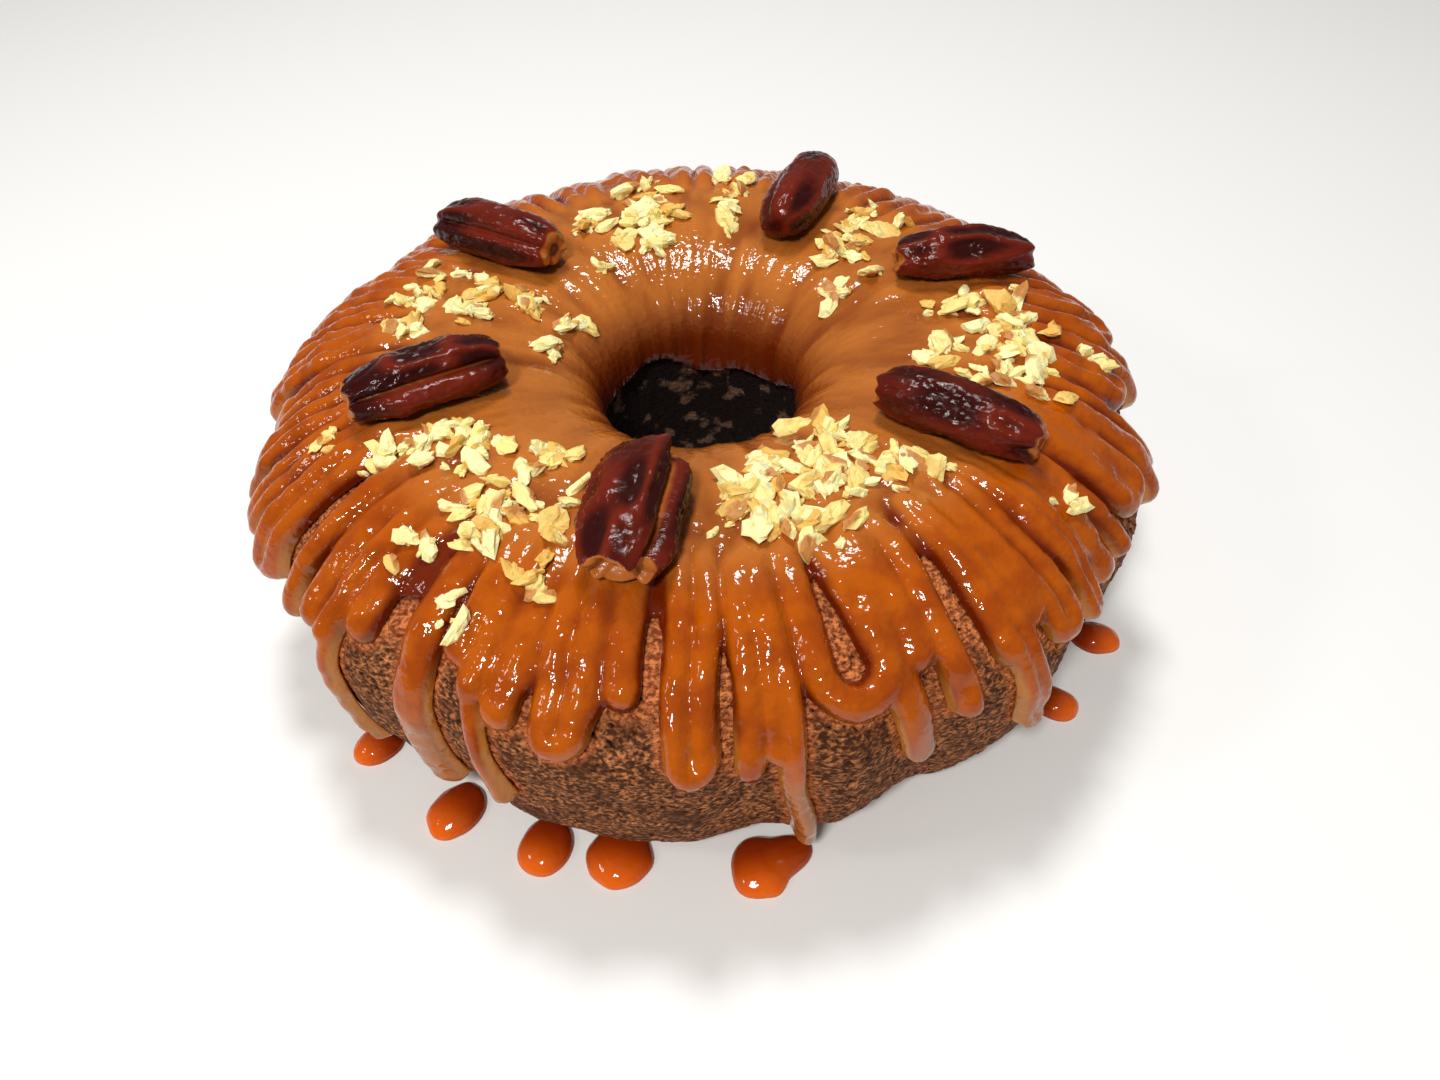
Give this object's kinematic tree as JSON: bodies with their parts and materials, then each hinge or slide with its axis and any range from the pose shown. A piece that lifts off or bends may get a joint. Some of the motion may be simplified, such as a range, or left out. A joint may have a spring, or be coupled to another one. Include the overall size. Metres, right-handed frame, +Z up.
{
  "type": "bundt cake",
  "caption": "Ring-shaped dark crumb cake under poured caramel that runs down its side, with chopped nuts and pitted dates on its crest.",
  "frame": {"origin": "on the cake's axis, at the level of the underside it stands on", "axes": "+Z up along the axis of the ring; -Y is the side that faces the viewer in the picture"},
  "size_m": [0.2467, 0.2488, 0.0897],
  "materials": {
    "crumb": "dark brown baked crumb, rough and porous, matt",
    "caramel": "poured caramel, glossy golden brown, slightly see-through at its thin edges",
    "chopped_nut": "chopped nut kernels, pale cream with brown skin",
    "date_skin": "wrinkled dark red-brown date skin with a soft shine"
  },
  "bodies": {
    "root": {"cake_body": "crumb", "caramel_icing": "caramel", "caramel_pool_1": "caramel", "caramel_pool_2": "caramel", "caramel_pool_3": "caramel", "caramel_pool_4": "caramel", "caramel_pool_5": "caramel", "caramel_pool_6": "caramel", "caramel_pool_7": "caramel", "date_1": "date_skin", "date_2": "date_skin", "date_3": "date_skin", "date_4": "date_skin", "date_5": "date_skin", "date_6": "date_skin"}
  },
  "joints": []
}
